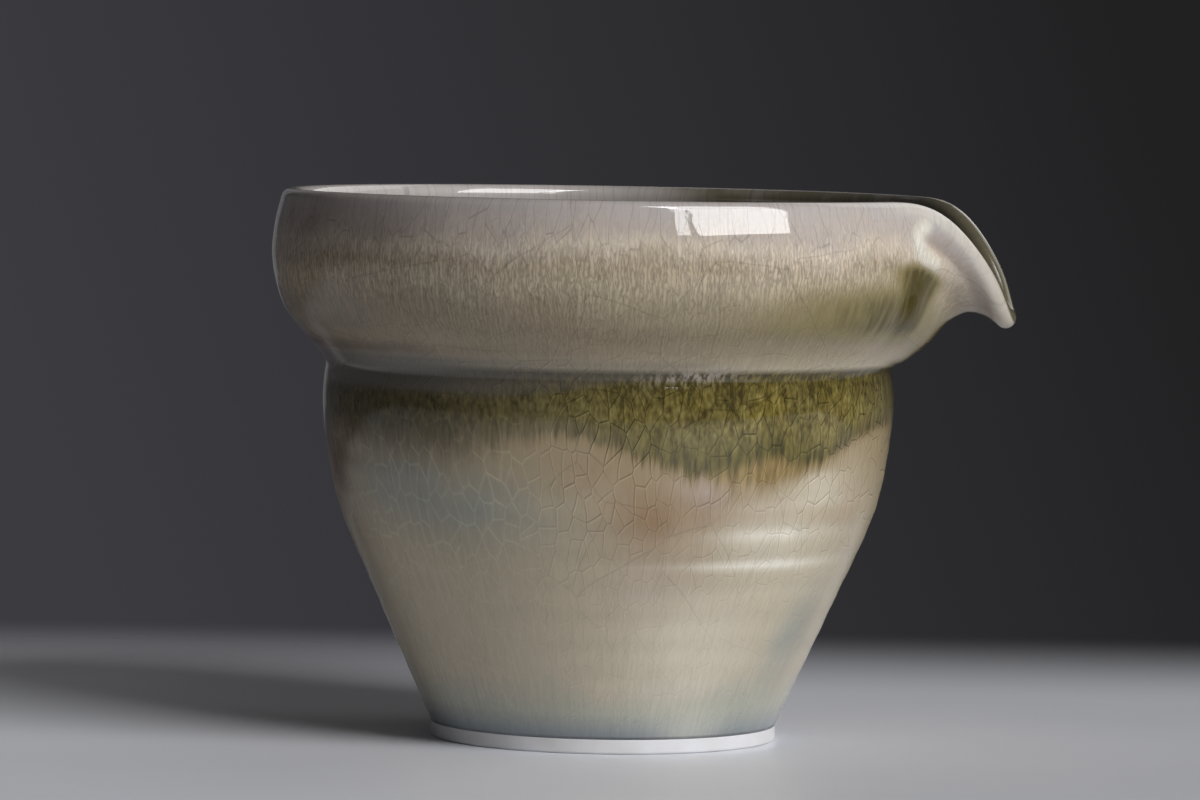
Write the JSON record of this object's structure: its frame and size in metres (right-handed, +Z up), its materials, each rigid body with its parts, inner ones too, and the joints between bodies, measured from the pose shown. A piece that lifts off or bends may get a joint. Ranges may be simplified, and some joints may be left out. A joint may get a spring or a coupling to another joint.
{
  "type": "tea pitcher",
  "caption": "Small porcelain tea pitcher: tapered bowl, rolled collar, foot ring and a spout pulled from the rim, in a crackled ash-type glaze.",
  "frame": {"origin": "middle of the footprint box, on the surface that the pitcher stands on", "axes": "+X towards the spout, +Z up; the bowl's own axis stands at x = -4.5 mm because the spout reaches forward"},
  "size_m": [0.0974, 0.0882, 0.071],
  "materials": {
    "porcelain": "bare fired white porcelain, matt",
    "outer_glaze": "glossy crackled ash-type glaze, olive where it pools",
    "inner_glaze": "glossy pale crackled glaze"
  },
  "bodies": {
    "root": {"porcelain_body": "porcelain", "outer_glaze": "outer_glaze", "inner_glaze": "inner_glaze", "base_glaze": "inner_glaze"}
  },
  "joints": []
}
